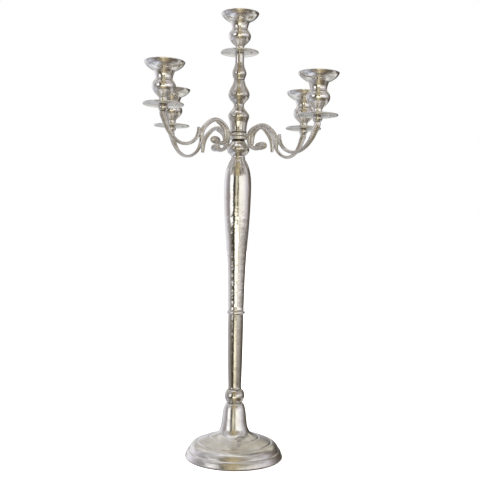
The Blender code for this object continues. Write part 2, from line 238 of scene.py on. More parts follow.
@dataclass(frozen=True)
class MetalFinish:
    """One plated or bare metal finish.

    Darkened spans are (low, high, share): painted shade that darkens the stand towards a brown tone
    in place of darker reflections, and also roughens it. Gap shadows are (height, half width): dark
    lines of painted shadow in the gaps beside the arms' eyes. All are in millimetres up the stand.
    """

    slot: Slot
    clean: Colour
    dull: Colour
    tarnish: float
    smooth: float
    rough: float
    wave_scale: float
    grain_scale: float
    grain: float
    relief_mm: float
    pits: float
    pit_scale: float = 420.0
    pit_tone: Colour = (0.10, 0.09, 0.08)
    pit_rough: float = 0.35
    tarnish_scale: float = 34.0
    ring_spacing: float = 0.002
    rings: float = 0.0
    # Painted shade: spans of the stand darkened towards a brown tone, standing in for their darker
    # reflections; the share also roughens them.
    darkened_spans: tuple[tuple[float, float, float], ...] = ()
    span_shade_tone: Colour = (0.30, 0.26, 0.19)
    # Painted shadow: near-black lines in the gaps where the stand meets the arms' eyes.
    gap_shadows: tuple[Point, ...] = ()
    gap_shadow_tone: Colour = (0.05, 0.04, 0.03)
    gap_shadow_core: float = 0.6
    stand_radius: float = 30.0
    bright_core: bool = False
    core_edge: Point = (17.2, 15.6)
    core_polish: float = 1.6

    def build(self, groups: dict[str, bpy.types.NodeTree]) -> bpy.types.Material:
        """Make the material.

        Args:
            groups: the shared node groups by name.

        Returns:
            The finished material.
        """
        made = bpy.data.materials.new(self.slot.value + "_finish")
        made.use_nodes = True
        graph = NodeGraph(made.node_tree)
        shader = made.node_tree.nodes["Principled BSDF"]
        where = graph.add("TexCoord").outputs["Object"]
        tarnish = graph.add("Group", node_tree=groups["tarnish"])
        pits = graph.add("Group", node_tree=groups["pits"])
        relief = graph.add("Group", node_tree=groups["relief"])
        for node, values in (
                (tarnish, {"Vector": where, "Scale": self.tarnish_scale,
                           "Clean": (*self.clean, 1.0), "Dull": (*self.dull, 1.0),
                           "Amount": self.tarnish}),
                (pits, {"Vector": where, "Scale": self.pit_scale, "Amount": self.pits}),
                (relief, {"Vector": where, "Wave Scale": self.wave_scale,
                          "Grain Scale": self.grain_scale, "Grain": self.grain,
                          "Ring Spacing": self.ring_spacing, "Rings": self.rings})):
            for key, value in values.items():
                graph.feed(node.inputs[key], value)
        tone, darkened = self.zoned(graph, where, tarnish.outputs["Color"],
                                  tarnish.outputs["Mask"])
        colour = graph.blend(pits.outputs["Mask"], tone, (*self.pit_tone, 1.0))
        rough = graph.span(darkened, 0.0, 1.0, self.smooth, self.rough)
        rough = graph.math("ADD", rough,
                           graph.math("MULTIPLY", pits.outputs["Mask"], self.pit_rough))
        dent = graph.math("SUBTRACT", relief.outputs["Height"], pits.outputs["Mask"])
        bump = graph.add("Bump", {"Height": dent, "Strength": 1.0,
                                  "Distance": self.relief_mm * MM})
        graph.feed(shader.inputs["Base Color"], colour)
        graph.feed(shader.inputs["Roughness"], rough)
        graph.feed(shader.inputs["Normal"], bump.outputs["Normal"])
        shader.inputs["Metallic"].default_value = 1.0
        return made

    def zoned(self, graph: NodeGraph, where: bpy.types.NodeSocket, colour: bpy.types.NodeSocket,
              mask: bpy.types.NodeSocket) -> tuple[bpy.types.NodeSocket, bpy.types.NodeSocket]:
        """Darken the stand's listed spans with painted shade and roughen them, paint shadow lines
        into the gaps beside the arms' eyes and keep a casting's eye bright.

        Args:
            graph: the material's graph.
            where: the object coordinates.
            colour: the colour so far.
            mask: the tarnish so far.

        Returns:
            The colour with the painted shade and shadow in it, and the tarnish mask with the spans'
            share and the bright eye in it.
        """
        height = graph.add("SeparateXYZ", {0: where}).outputs["Z"]
        flat = graph.add("VectorMath", {0: where, 1: (1.0, 1.0, 0.0)}, operation="MULTIPLY")
        reach = graph.add("VectorMath", {0: flat.outputs[0]}, operation="LENGTH").outputs["Value"]
        inner = graph.math("LESS_THAN", reach, self.stand_radius * MM)
        # Painted shade: each span darkens towards the brown tone in place of darker reflections,
        # and its share also raises the roughness.
        for low, high, share in self.darkened_spans:
            above = graph.math("GREATER_THAN", height, low * MM)
            below = graph.math("LESS_THAN", height, high * MM)
            zone = graph.math("MULTIPLY", inner, graph.math("MULTIPLY", above, below))
            darkened = graph.blend(share, colour, (*self.span_shade_tone, 1.0))
            colour = graph.blend(zone, colour, darkened)
            mask = graph.math("MAXIMUM", mask, graph.math("MULTIPLY", zone, share))
        # Painted shadow: a dark line at each height where shade falls in the gap beside an eye.
        for gap_shadow_height, half in self.gap_shadows:
            away = graph.math("ABSOLUTE", graph.math("SUBTRACT", height, gap_shadow_height * MM))
            line = graph.span(away, half * MM, self.gap_shadow_core * half * MM)
            line = graph.math("MULTIPLY", inner, line)
            colour = graph.blend(line, colour, (*self.gap_shadow_tone, 1.0))
        if self.bright_core:
            outer, full = self.core_edge
            core = graph.span(reach, outer * MM, full * MM)
            colour = graph.blend(core, colour, (*self.clean, 1.0))
            mask = graph.math("SUBTRACT", mask, graph.math("MULTIPLY", core, self.core_polish))
        return colour, mask


@dataclass(frozen=True)
class FeltFinish:
    """Dark pressed felt."""

    slot: Slot = Slot.FELT
    dark: Colour = (0.055, 0.022, 0.014)
    light: Colour = (0.16, 0.075, 0.05)
    fibre_scale: float = 900.0
    fibre_edges: Point = (0.35, 0.65)
    fibre_height: float = 0.0004
    rough: Point = (0.88, 0.98)

    def build(self, groups: dict[str, bpy.types.NodeTree]) -> bpy.types.Material:
        """Make the material.

        Args:
            groups: the shared node groups by name; relief gives the fibres their height.

        Returns:
            The finished material.
        """
        made = bpy.data.materials.new(self.slot.value + "_finish")
        made.use_nodes = True
        graph = NodeGraph(made.node_tree)
        shader = made.node_tree.nodes["Principled BSDF"]
        where = graph.add("TexCoord").outputs["Object"]
        fibre = graph.add("TexNoise", {"Vector": where, "Scale": self.fibre_scale,
                                       "Detail": 5.0})
        tone = graph.span(fibre.outputs["Fac"], *self.fibre_edges)
        relief = graph.add("Group", node_tree=groups["relief"])
        for key, value in {"Vector": where, "Wave Scale": 60.0, "Grain Scale": 2400.0,
                           "Grain": 0.8, "Ring Spacing": 1.0, "Rings": 0.0}.items():
            graph.feed(relief.inputs[key], value)
        bump = graph.add("Bump", {"Height": relief.outputs["Height"],
                                  "Distance": self.fibre_height})
        graph.feed(shader.inputs["Base Color"],
                   graph.blend(tone, (*self.dark, 1.0), (*self.light, 1.0)))
        graph.feed(shader.inputs["Roughness"], graph.span(tone, 0.0, 1.0, *self.rough))
        graph.feed(shader.inputs["Normal"], bump.outputs["Normal"])
        return made


FINISHES = (
    MetalFinish(Slot.POLISHED, clean=(0.85, 0.835, 0.81), dull=(0.60, 0.54, 0.45), tarnish=0.45,
                smooth=0.06, rough=0.24, wave_scale=88.0, grain_scale=600.0, grain=0.05,
                relief_mm=0.44, pits=0.34,
                # Painted shade on the lower stem, the knop, the hub bulb and the column with the
                # top stem.
                darkened_spans=((121.4, 256.6, 0.52), (97.3, 121.3, 0.30),
                            (541.9, 571.3, 0.12), (583.8, 728.1, 0.25)),
                # Painted shadow lines at the top of the hub bulb and under the column's lip.
                gap_shadows=((570.0, 2.2), (584.3, 1.0))),
    MetalFinish(Slot.SATIN, clean=(0.84, 0.83, 0.805), dull=(0.62, 0.59, 0.53), tarnish=0.50,
                smooth=0.18, rough=0.34, wave_scale=60.0, grain_scale=700.0, grain=0.06,
                relief_mm=0.45, pits=0.16, ring_spacing=0.0016, rings=0.02),
    MetalFinish(Slot.CAST, clean=(0.84, 0.82, 0.78), dull=(0.46, 0.43, 0.38), tarnish=0.75,
                smooth=0.26, rough=0.46, wave_scale=240.0, grain_scale=1300.0, grain=0.30,
                relief_mm=0.6, pits=0.35, pit_scale=600.0, bright_core=True),
    MetalFinish(Slot.STEEL, clean=(0.52, 0.52, 0.53), dull=(0.32, 0.30, 0.28), tarnish=0.6,
                smooth=0.28, rough=0.45, wave_scale=150.0, grain_scale=1200.0, grain=0.2,
                relief_mm=0.15, pits=0.2),
    FeltFinish(),
)


def make_finishes() -> dict[Slot, bpy.types.Material]:
    """Build the shared groups and every finish, by slot."""
    groups = {"relief": cast_relief_group(), "pits": pitting_group(), "tarnish": tarnish_group()}
    return {finish.slot: finish.build(groups) for finish in FINISHES}


def eased(points: Sequence[Sequence[float]], steps: int) -> list[Vector]:
    """Return a smooth Catmull-Rom run through points of any length.

    Args:
        points: the run's own points.
        steps: how many pieces each span is cut into.

    Returns:
        The points along the run, both ends among them.
    """
    rows = [Vector(p) for p in points]
    rows = [2 * rows[0] - rows[1]] + rows + [2 * rows[-1] - rows[-2]]
    run = []
    for i in range(1, len(rows) - 2):
        a, b, c, d = rows[i - 1:i + 3]
        for k in range(steps):
            t = k / steps
            run.append(0.5 * (2 * b + (c - a) * t + (2 * a - 5 * b + 4 * c - d) * t ** 2
                              + (3 * b - a - 3 * c + d) * t ** 3))
    run.append(rows[-2])
    return run


def outline(runs: Iterable[Run], steps: int, same_mm: float = 0.001) -> list[Vector]:
    """Join runs into one outline with a corner wherever one run meets the next.

    Args:
        runs: the runs in order; two points are a straight line and one stands alone.
        steps: how many pieces each span of a longer run is cut into.
        same_mm: points nearer than this are one point.

    Returns:
        The outline's points.
    """
    joined: list[Vector] = []
    for run in runs:
        points = eased(run, steps) if len(run) > 2 else [Vector(p) for p in run]
        if joined and (points[0] - joined[-1]).length < same_mm:
            points = points[1:]
        joined.extend(points)
    return joined


@dataclass
class PieceMaker:
    """Puts finished meshes into the scene and tells the frame about them."""

    finishes: dict[Slot, bpy.types.Material]

    def add(self, work: bmesh.types.BMesh, node: str, body: str, slot: Slot,
            sharp_deg: float = 38.0) -> bpy.types.Object:
        """Turn a bmesh into a piece that stands for a CAD node.

        Args:
            work: the mesh in place; it is freed.
            node: the CAD node that the piece replaces.
            body: the body that it rides on.
            slot: the finish that it takes.
            sharp_deg: edges sharper than this stay crisp.

        Returns:
            The new object.
        """
        mesh = bpy.data.meshes.new(node + "_fine")
        work.to_mesh(mesh)
        work.free()
        mesh.shade_smooth()
        mesh.set_sharp_from_angle(angle=math.radians(sharp_deg))
        mesh.materials.append(self.finishes[slot])
        piece = bpy.data.objects.new(node + "_fine", mesh)
        bpy.context.scene.collection.objects.link(piece)
        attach(piece, body)
        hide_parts(node)
        LOG.info("%s: %d faces on %s", piece.name, len(mesh.polygons), body)
        return piece


def spun(points: Sequence[Vector], steps: int, closed: bool, place: Matrix,
         same_mm: float = 0.002) -> bmesh.types.BMesh:
    """Spin an outline of (radius, height) points in millimetres about Z.

    Args:
        points: the outline.
        steps: facets round the piece.
        closed: whether the outline returns to its start, as a bored piece's does.
        place: where the piece goes.
        same_mm: vertices nearer than this are merged.

    Returns:
        The closed solid with its faces outward.
    """
    work = bmesh.new()
    verts = [work.verts.new((p[0] * MM, 0.0, p[1] * MM)) for p in points]
    edges = [work.edges.new(pair) for pair in zip(verts, verts[1:])]
    if closed:
        edges.append(work.edges.new((verts[-1], verts[0])))
    bmesh.ops.spin(work, geom=verts + edges, cent=(0, 0, 0), axis=(0, 0, 1), dvec=(0, 0, 0),
                   angle=2 * math.pi, steps=steps, use_merge=True, use_duplicate=False)
    bmesh.ops.remove_doubles(work, verts=work.verts, dist=same_mm * MM)
    bmesh.ops.recalc_face_normals(work, faces=work.faces)
    bmesh.ops.transform(work, matrix=place, verts=work.verts)
    return work


@dataclass
class TurnedPiece:
    """One lathe-turned piece of the stand; a bore of 0 leaves its outline as it is."""

    node: str
    runs: tuple[Run, ...]
    bore: float = ROD_BORE
    steps: int = 96
    detail: int = 5

    def build(self, maker: PieceMaker, body: str) -> None:
        """Spin the piece with its straight bore and add it.

        Args:
            maker: what puts the piece into the scene.
            body: the body that it rides on.
        """
        points = outline(self.runs, self.detail)
        if self.bore:
            points += [Vector((self.bore, points[-1][1])), Vector((self.bore, points[0][1]))]
        work = spun(points, self.steps, bool(self.bore), Matrix.Identity(4))
        maker.add(work, self.node, body, Slot.POLISHED)


@dataclass
class Stand:
    """The turned pieces that the tie rod clamps, from the base up to the top light's stem."""

    body: str = "stand"
    base_steps: int = 144
    base_detail: int = 5
    base_sharp_deg: float = 30.0

    def build(self, maker: PieceMaker) -> None:
        """Build the turned pieces from the base up.

        Args:
            maker: what puts the pieces into the scene.
        """
        self.base(maker)
        for piece in (self.knop(), self.lower_stem(), self.joint_ring(), self.baluster(),
                      self.hub_bulb(), self.column(), self.top_stem()):
            piece.build(maker, self.body)

    def base(self, maker: PieceMaker) -> None:
        """Build the spun base with its rings, open underneath.

        Args:
            maker: what puts the base into the scene.
        """
        runs = (
            ((13.6, 97.2), (14.6, 96.6)),
            ((14.6, 96.6), (16.4, 94.8), (18.5, 90.0), (20.2, 83.0), (21.4, 74.0), (22.3, 66.0),
             (23.5, 57.0), (25.5, 50.0), (29.2, 43.8), (35.2, 39.4), (42.6, 36.4)),
            ((42.6, 36.4), (43.6, 35.1), (45.0, 34.7), (46.2, 35.1)),
            ((46.2, 35.1), (56.0, 31.7), (64.6, 28.2)),
            ((64.6, 28.2), (65.6, 26.6), (67.2, 26.1), (68.6, 26.4)),
            ((68.6, 26.4), (72.4, 24.9), (76.2, 22.2), (79.0, 18.5), (80.4, 15.5)),
            ((80.4, 15.5), (81.2, 13.6), (82.6, 12.7)),
            ((82.6, 12.7), (84.4, 10.2), (86.0, 6.4), (87.2, 2.8)),
            ((87.2, 2.8), (87.6, 2.2), (87.4, 1.7), (86.9, 1.5)),
            ((86.9, 1.5), (83.8, 1.5)),
            ((83.8, 1.5), (83.0, 5.0), (80.4, 11.0), (76.0, 16.4), (64.0, 21.0), (44.0, 28.0),
             (24.0, 30.0)),
            ((24.0, 30.0), (ROD_BORE, 30.0)),
            ((ROD_BORE, 97.2),),
        )
        points = outline(runs, self.base_detail)
        work = spun(points, self.base_steps, True, Matrix.Identity(4))
        maker.add(work, "base_shell", self.body, Slot.SATIN, self.base_sharp_deg)

    def knop(self) -> TurnedPiece:
        """Return the ball between base and stem."""
        return TurnedPiece("stem_knop", (
            ((12.2, 121.0), (13.4, 120.5)),
            ((13.4, 120.5), (15.6, 118.2), (17.4, 114.0), (18.0, 109.2), (17.5, 104.4),
             (15.8, 100.4), (13.9, 98.2)),
            ((13.9, 98.2), (13.2, 97.5)),
        ))

    def lower_stem(self) -> TurnedPiece:
        """Return the lower stem, which narrows downwards."""
        return TurnedPiece("lower_stem", (
            ((13.0, 256.5), (13.6, 256.0)),
            ((13.6, 256.0), (13.8, 240.0), (13.6, 215.0), (13.1, 180.0), (12.4, 148.0),
             (11.8, 130.0), (11.8, 123.8)),
            ((11.8, 123.8), (12.2, 122.4), (11.8, 121.3)),
        ))

    def joint_ring(self) -> TurnedPiece:
        """Return the bead where the stem meets the baluster."""
        return TurnedPiece("joint_ring", (
            ((13.6, 262.3), (15.0, 262.2), (16.3, 261.2), (16.6, 259.6), (16.3, 258.0),
             (15.0, 256.9), (13.6, 256.8)),
        ))

    def baluster(self) -> TurnedPiece:
        """Return the long baluster."""
        return TurnedPiece("baluster", (
            ((11.8, 541.8), (12.3, 541.2)),
            ((12.3, 541.2), (12.4, 539.4), (13.3, 535.8), (15.7, 531.4), (18.4, 525.6),
             (20.6, 519.4), (22.4, 512.0), (23.7, 503.6), (24.4, 493.0), (24.5, 480.0),
             (24.1, 462.0), (23.1, 438.0), (21.8, 416.0), (20.6, 400.0), (18.5, 376.0),
             (16.8, 348.0), (15.4, 316.0), (14.6, 285.0), (14.2, 268.0)),
            ((14.2, 268.0), (14.4, 264.6), (13.8, 262.6)),
        ))

    def hub_bulb(self) -> TurnedPiece:
        """Return the urn-shaped bulb under the arms."""
        return TurnedPiece("hub_bulb", (
            ((11.4, 571.1), (11.6, 570.6)),
            ((11.6, 570.6), (12.0, 568.6), (14.2, 565.2), (17.4, 561.4), (19.8, 557.8),
             (20.6, 554.6), (20.0, 551.2), (18.2, 548.0), (15.6, 545.2), (13.4, 543.4)),
            ((13.4, 543.4), (12.7, 542.8), (12.3, 542.1)),
        ))

    def column(self) -> TurnedPiece:
        """Shape the double-bulbed centre column, bored from below for the rod.

        Returns:
            The piece, ready to build.
        """
        top = ((0.0, 679.0), (9.2, 679.0))
        side = ((9.2, 679.0), (9.9, 678.2), (10.6, 675.2), (12.0, 671.0), (14.8, 665.4),
                (17.8, 659.2), (19.1, 654.4))
        belly = ((19.1, 654.4), (19.3, 652.4), (18.9, 649.8), (17.8, 646.8), (15.2, 643.0),
                 (12.0, 639.6), (10.0, 636.6), (9.3, 633.4), (9.7, 630.0), (11.2, 627.2),
                 (14.0, 623.6), (16.8, 620.0), (18.6, 616.8), (19.1, 613.8), (18.7, 610.8),
                 (17.5, 607.2), (16.3, 603.4), (15.5, 599.0), (14.8, 593.4), (14.4, 588.6))
        lip = ((14.4, 588.6), (14.8, 587.0), (15.0, 585.6), (14.6, 584.4), (13.8, 584.1))
        hole = ((13.8, 584.1), (ROD_BORE, 584.1))
        blind = ((ROD_BORE, 606.3), (0.0, 606.3))
        return TurnedPiece("centre_column", (top, side, belly, lip, hole, blind), bore=0.0)

    def top_stem(self) -> TurnedPiece:
        """Shape the small knopped stem that carries the top light.

        Returns:
            The piece, ready to build.
        """
        mouth = ((0.0, 718.7), (STUD_BORE, 718.7))
        rim = ((STUD_BORE, 728.0), (8.1, 728.0))
        side = ((8.1, 728.0), (8.4, 726.6), (8.2, 722.0), (8.1, 711.6), (8.7, 706.2),
                (10.0, 701.6), (11.8, 696.8), (12.9, 692.6), (12.6, 688.6), (11.4, 685.0),
                (10.3, 682.2), (10.0, 680.4))
        foot = ((10.0, 680.4), (9.6, 679.3))
        under = ((9.6, 679.3), (0.0, 679.3))
        return TurnedPiece("top_stem", (mouth, rim, side, foot, under), bore=0.0)


@dataclass
class Light:
    """One light: its drip pan and candle cup, with the collar of its arm.

    The seat is its frame, the holder the body under it, and only an arm's light has a collar.
    """

    name: str
    seat: Matrix
    holder: str
    collar: bool
    pan_steps: int = 96
    cup_steps: int = 112
    collar_steps: int = 64
    detail: int = 4

    def build(self, maker: PieceMaker) -> None:
        """Build the pan, the cup and the collar.

        Args:
            maker: what puts the pieces into the scene.
        """
        self.pan(maker)
        self.cup(maker)
        if self.collar:
            self.arm_collar(maker)

    def pan(self, maker: PieceMaker) -> None:
        """Build the shallow pan with its rolled edge.

        Args:
            maker: what puts the pan into the scene.
        """
        runs = (
            ((32.6, 2.1), (33.3, 2.3), (34.1, 1.9), (34.5, 1.0), (34.3, 0.1), (33.6, -0.5),
             (32.6, -0.5), (31.4, -0.1)),
            ((31.4, -0.1), (27.4, 0.3), (24.0, 0.5)),
            ((24.0, 0.5), (23.2, 0.9), (22.4, 0.6), (21.9, -0.1)),
            ((21.9, -0.1), (21.2, -0.5), (20.2, -0.5), (19.4, 0.0)),
            ((19.4, 0.0), (15.0, 0.1), (9.0, 0.0)),
            ((9.0, 0.0), (STUD_BORE, 0.0)),
            ((STUD_BORE, 1.3), (22.0, 1.3)),
            ((22.0, 1.3), (30.6, 1.3)),
            ((30.6, 1.3), (31.8, 1.5), (32.6, 2.1)),
        )
        once_round = outline(runs, self.detail)[:-1]
        work = spun(once_round, self.pan_steps, True, self.seat)
        maker.add(work, "drip_pan_" + self.name, self.holder, Slot.SATIN, sharp_deg=40.0)

    def cup(self, maker: PieceMaker) -> None:
        """Build the vase-shaped cup with its flared dish and straight socket.

        Args:
            maker: what puts the cup into the scene.
        """
        runs = (
            ((0.0, 30.0), (10.8, 30.0)),
            ((10.8, 30.0), (11.6, 30.6), (11.8, 32.0)),
            ((11.8, 32.0), (11.8, 55.4)),
            ((11.8, 55.4), (12.2, 57.2), (13.6, 58.5), (17.4, 59.6), (22.0, 61.2), (26.6, 64.0),
             (30.4, 67.8), (33.0, 71.15)),
            ((33.0, 71.15), (33.5, 71.6), (34.2, 71.6), (34.6, 71.15), (34.5, 70.5)),
            ((34.5, 70.5), (32.6, 66.8), (29.2, 63.2), (25.2, 60.2), (21.4, 58.0), (18.6, 57.0)),
            ((18.6, 57.0), (17.6, 56.2), (16.9, 54.4), (15.9, 51.4), (15.0, 48.2), (14.5, 45.4),
             (14.4, 43.0)),
            ((14.4, 43.0), (15.0, 42.2), (15.1, 41.2)),
            ((15.1, 41.2), (16.2, 40.0), (17.9, 37.6), (19.4, 34.6), (20.2, 31.2), (20.0, 28.0),
             (18.9, 24.6), (16.6, 21.0), (13.6, 17.8), (10.9, 15.0), (8.8, 12.9)),
            ((8.8, 12.9), (7.8, 10.8), (7.6, 8.0), (7.9, 5.4)),
            ((7.9, 5.4), (8.8, 4.4), (9.3, 3.2), (9.4, 1.6)),
            ((9.4, 1.6), (STUD_BORE, 1.6)),
            ((STUD_BORE, 13.0), (0.0, 13.0)),
        )
        work = spun(outline(runs, self.detail), self.cup_steps, False, self.seat)
        maker.add(work, "candle_cup_" + self.name, "cup_" + self.name, Slot.POLISHED,
                  sharp_deg=42.0)

    def arm_collar(self, maker: PieceMaker) -> None:
        """Build the rounded collar under the pan.

        Args:
            maker: what puts the collar into the scene.
        """
        runs = (
            ((STUD_BORE, -0.3), (7.0, -0.3)),
            ((7.0, -0.3), (7.8, -0.9), (8.4, -2.4), (8.6, -4.4), (8.3, -6.4), (7.4, -8.6),
             (6.3, -10.0), (5.4, -10.3)),
            ((5.4, -10.3), (0.0, -10.3)),
            ((0.0, -9.7), (STUD_BORE, -9.7)),
        )
        work = spun(outline(runs, self.detail), self.collar_steps, True, self.seat)
        maker.add(work, "arm_collar_" + self.name, self.holder, Slot.POLISHED)


@dataclass
class ArmPair:
    """One casting: an eye on the tie rod and two scrolled arms in one plane.

    Routes are (reach, height, radius) points and creases (reach, height) points, in millimetres
    from the hub.  The hub is the arms' frame, which leans, and the eye's frame stands upright.
    """

    node: str
    body: str
    hub: Matrix
    eye: Matrix
    voxel_mm: float = 0.52
    section: int = 36
    eye_steps: int = 96
    route_detail: int = 6
    crease_detail: int = 5
    smoothing: int = 3

    ARCH = ((25.0, -6, 4.3), (26.0, 3.5, 4.3), (30.6, 10.8, 4.1), (38, 16.6, 3.8),
            (46, 20.0, 3.6), (55, 20.4, 3.7), (63.5, 17.4, 3.9), (71.5, 11.8, 4.2), (78.5, 5, 4.4),
            (83, -3, 4.3), (84.8, -12, 3.9), (85.2, -23.5, 3.0))
    RIB = ((30.4, -15, 3.4), (31.2, -8, 3.8), (31.8, -1, 4.1), (33.4, 5, 4.0), (37.5, 10, 3.7),
           (43.5, 14, 3.1), (51, 17.2, 2.4))
    SWEEP = ((91.4, 3, 2.9), (91.8, -6, 3.4), (95, -14.5, 3.4), (101.5, -21.8, 3.2),
             (110, -26.8, 3.0), (119, -29, 2.9), (129, -28.6, 3.0), (139, -24.8, 3.3),
             (149, -17.4, 3.9), (158, -6, 4.8), (164.5, 7.5, 5.6), (167.7, 14.5, 5.9),
             (168, 17.4, 6.0), (168, 19.9, 6.0))
    CURL = ((25.2, -3, 4.2), (26.4, -10.6, 4.1), (30.6, -16.2, 3.9), (37.5, -19.4, 3.7),
            (45, -19.8, 3.6), (51, -18.2, 3.9))
    LINK = ((10, 0, 2.7), (19, 0, 2.8), (26.5, 0, 3.3))
    GROOVED = ((ARCH, 0.15), (SWEEP, 0.15), (RIB, 0.08), (CURL, 0.09), (LINK, 0.0))
    FLUTES = 6.0
    SWELL = 1.03
    WEB = (88.2, -7.0)
    WEB_SIZE = (4.8, 2.8, 8.6)
    KNOB = (53.4, -15.5)
    KNOB_SIZE = (11.3, 5.2, 7.1)
    EYE = ((12.2, 3.0), (14.2, 3.0), (15.0, 2.2), (15.0, -2.2), (14.2, -3.0), (12.2, -3.0),
           (ROD_BORE, -3.0), (ROD_BORE, 3.0))
    CREASES = (
        (0.9, ((29.3, -9), (28.9, -3), (29.8, 3), (33.0, 8.4), (38.6, 13.0), (45.0, 16.4))),
        (1.3, ((31.0, -12.4), (35.0, -15.4), (40.0, -16.6), (46.0, -15.8), (51.4, -13.6),
               (56.0, -14.2), (58.0, -17.0), (55.4, -18.6))),
    )
    CREASE_WIDTH = 0.9
    CREASED = (24.0, 62.0)

    def build(self, maker: PieceMaker) -> None:
        """Sweep the strands, fuse them with the eye and add the skin.

        Args:
            maker: what puts the casting into the scene.
        """
        work = bmesh.new()
        for flip in (1.0, -1.0):
            turn = self.hub @ Matrix.Rotation(0.0 if flip > 0 else math.pi, 4, "Z")
            for route, groove in self.GROOVED:
                self.strand(work, route, groove, turn)
            self.lump(work, self.WEB, self.WEB_SIZE, turn)
            self.lump(work, self.KNOB, self.KNOB_SIZE, turn)
        eye = spun([Vector(p) for p in self.EYE], self.eye_steps, True, self.eye)
        mesh = bpy.data.meshes.new("eye")
        eye.to_mesh(mesh)
        eye.free()
        work.from_mesh(mesh)
        bpy.data.meshes.remove(mesh)
        skin = self.fused(work)
        self.crease(skin)
        maker.add(skin, self.node, self.body, Slot.CAST, sharp_deg=70.0)

    def crease(self, skin: bmesh.types.BMesh) -> None:
        """Press the chased lines of the scrolls into both flanks of the skin.

        Args:
            skin: the fused casting, in place.
        """
        to_arm = self.hub.inverted()
        nearest, farthest = self.CREASED
        lines = [(depth, [Vector((x, 0.0, z)) for x, z in eased(line, self.crease_detail)])
                 for depth, line in self.CREASES]
        for vert in skin.verts:
            spot = to_arm @ vert.co / MM
            flat = Vector((abs(spot.x), 0.0, spot.z))
            if not nearest <= flat.x <= farthest:
                continue
            pushed = 0.0
            for depth, line in lines:
                near = min(self.gap(flat, a, b) for a, b in zip(line, line[1:]))
                pushed = max(pushed, depth * math.exp(-(near / self.CREASE_WIDTH) ** 2))
            spot.y -= math.copysign(min(pushed, abs(spot.y)), spot.y)
            vert.co = self.hub @ (spot * MM)

    @staticmethod
    def gap(spot: Vector, start: Vector, end: Vector) -> float:
        """Measure from a point to a straight span.

        Args:
            spot: the point.
            start: one end of the span.
            end: its other end.

        Returns:
            The shortest distance between them.
        """
        span = end - start
        share = max(0.0, min(1.0, (spot - start).dot(span) / span.length_squared))
        return (spot - start - span * share).length

    def strand(self, work: bmesh.types.BMesh, route: Sequence[Sequence[float]], groove: float,
               turn: Matrix) -> None:
        """Sweep a grooved bar along a route.

        Args:
            work: the mesh that it joins.
            route: the bar's centre line and radius, in millimetres.
            groove: depth of the grooves along it, as a share of the radius.
            turn: where the arm's plane goes.
        """
        path = eased(route, self.route_detail)
        made = bmesh.ops.create_circle(work, cap_ends=False, segments=self.section, radius=1.0)
        ring = made["verts"]
        shape = [vert.co.copy() for vert in ring]
        edges = list({edge for vert in ring for edge in vert.link_edges})
        mouth = list(edges)
        everything = list(ring)
        for index, point in enumerate(path):
            if index:
                grown = bmesh.ops.extrude_edge_only(work, edges=edges)["geom"]
                ring = self.in_order(ring, grown)
                edges = [item for item in grown if isinstance(item, bmesh.types.BMEdge)
                         and all(vert in ring for vert in item.verts)]
                everything += ring
            ahead = path[min(index + 1, len(path) - 1)] - path[max(index - 1, 0)]
            along = Vector((ahead[0], 0.0, ahead[1])).normalized()
            side = Vector((0.0, 1.0, 0.0))
            across = side.cross(along)
            centre = Vector((point[0], 0.0, point[1]))
            for vert, spot in zip(ring, shape):
                flute = 0.5 + 0.5 * math.cos(self.FLUTES * math.atan2(spot.x, spot.y))
                reach = point[2] * (self.SWELL - groove * flute ** 2)
                vert.co = (centre + (across * spot.x + side * spot.y) * reach) * MM
        for loop in (mouth, edges):
            bmesh.ops.edgeloop_fill(work, edges=loop)
        bmesh.ops.transform(work, matrix=turn, verts=everything)

    @staticmethod
    def in_order(old: Sequence[bmesh.types.BMVert],
                 grown: Sequence[object]) -> list[bmesh.types.BMVert]:
        """Match an extruded ring to the ring that it came from.

        Args:
            old: the ring's vertices before.
            grown: everything that the extrusion made.

        Returns:
            The new vertices in the order of the old ones.
        """
        fresh = {item for item in grown if isinstance(item, bmesh.types.BMVert)}
        return [next(edge.other_vert(vert) for edge in vert.link_edges
                     if edge.other_vert(vert) in fresh) for vert in old]

    @staticmethod
    def lump(work: bmesh.types.BMesh, middle: Point, size: tuple[float, float, float],
             turn: Matrix) -> None:
        """Add an ellipsoid between two strands or at the end of one.

        Args:
            work: the mesh that it joins.
            middle: reach and height of its middle, in millimetres.
            size: its half-widths, in millimetres.
            turn: where the arm's plane goes.
        """
        spot = (turn @ Matrix.Translation(Vector((middle[0], 0.0, middle[1])) * MM)
                @ Matrix.Diagonal((*(Vector(size) * MM), 1.0)))
        bmesh.ops.create_uvsphere(work, u_segments=24, v_segments=16, radius=1.0, matrix=spot)

    def fused(self, work: bmesh.types.BMesh) -> bmesh.types.BMesh:
        """Fuse the strands and the eye into one closed skin.

        Args:
            work: the loose closed shapes; it is freed.

        Returns:
            The skin, lightly smoothed.
        """
        bmesh.ops.recalc_face_normals(work, faces=work.faces)
        mesh = bpy.data.meshes.new("strands")
        work.to_mesh(mesh)
        work.free()
        rough = bpy.data.objects.new("strands", mesh)
        bpy.context.scene.collection.objects.link(rough)
        remesh = rough.modifiers.new("fuse", "REMESH")
        remesh.mode = "VOXEL"
        remesh.voxel_size = self.voxel_mm * MM
        bpy.context.view_layer.update()
        graph = bpy.context.evaluated_depsgraph_get()
        skin = bpy.data.meshes.new_from_object(rough.evaluated_get(graph))
        bpy.data.objects.remove(rough)
        whole = bmesh.new()
        whole.from_mesh(skin)
        for _ in range(self.smoothing):
            bmesh.ops.smooth_vert(whole, verts=whole.verts, factor=0.5, use_axis_x=True,
                                  use_axis_y=True, use_axis_z=True)
        return whole


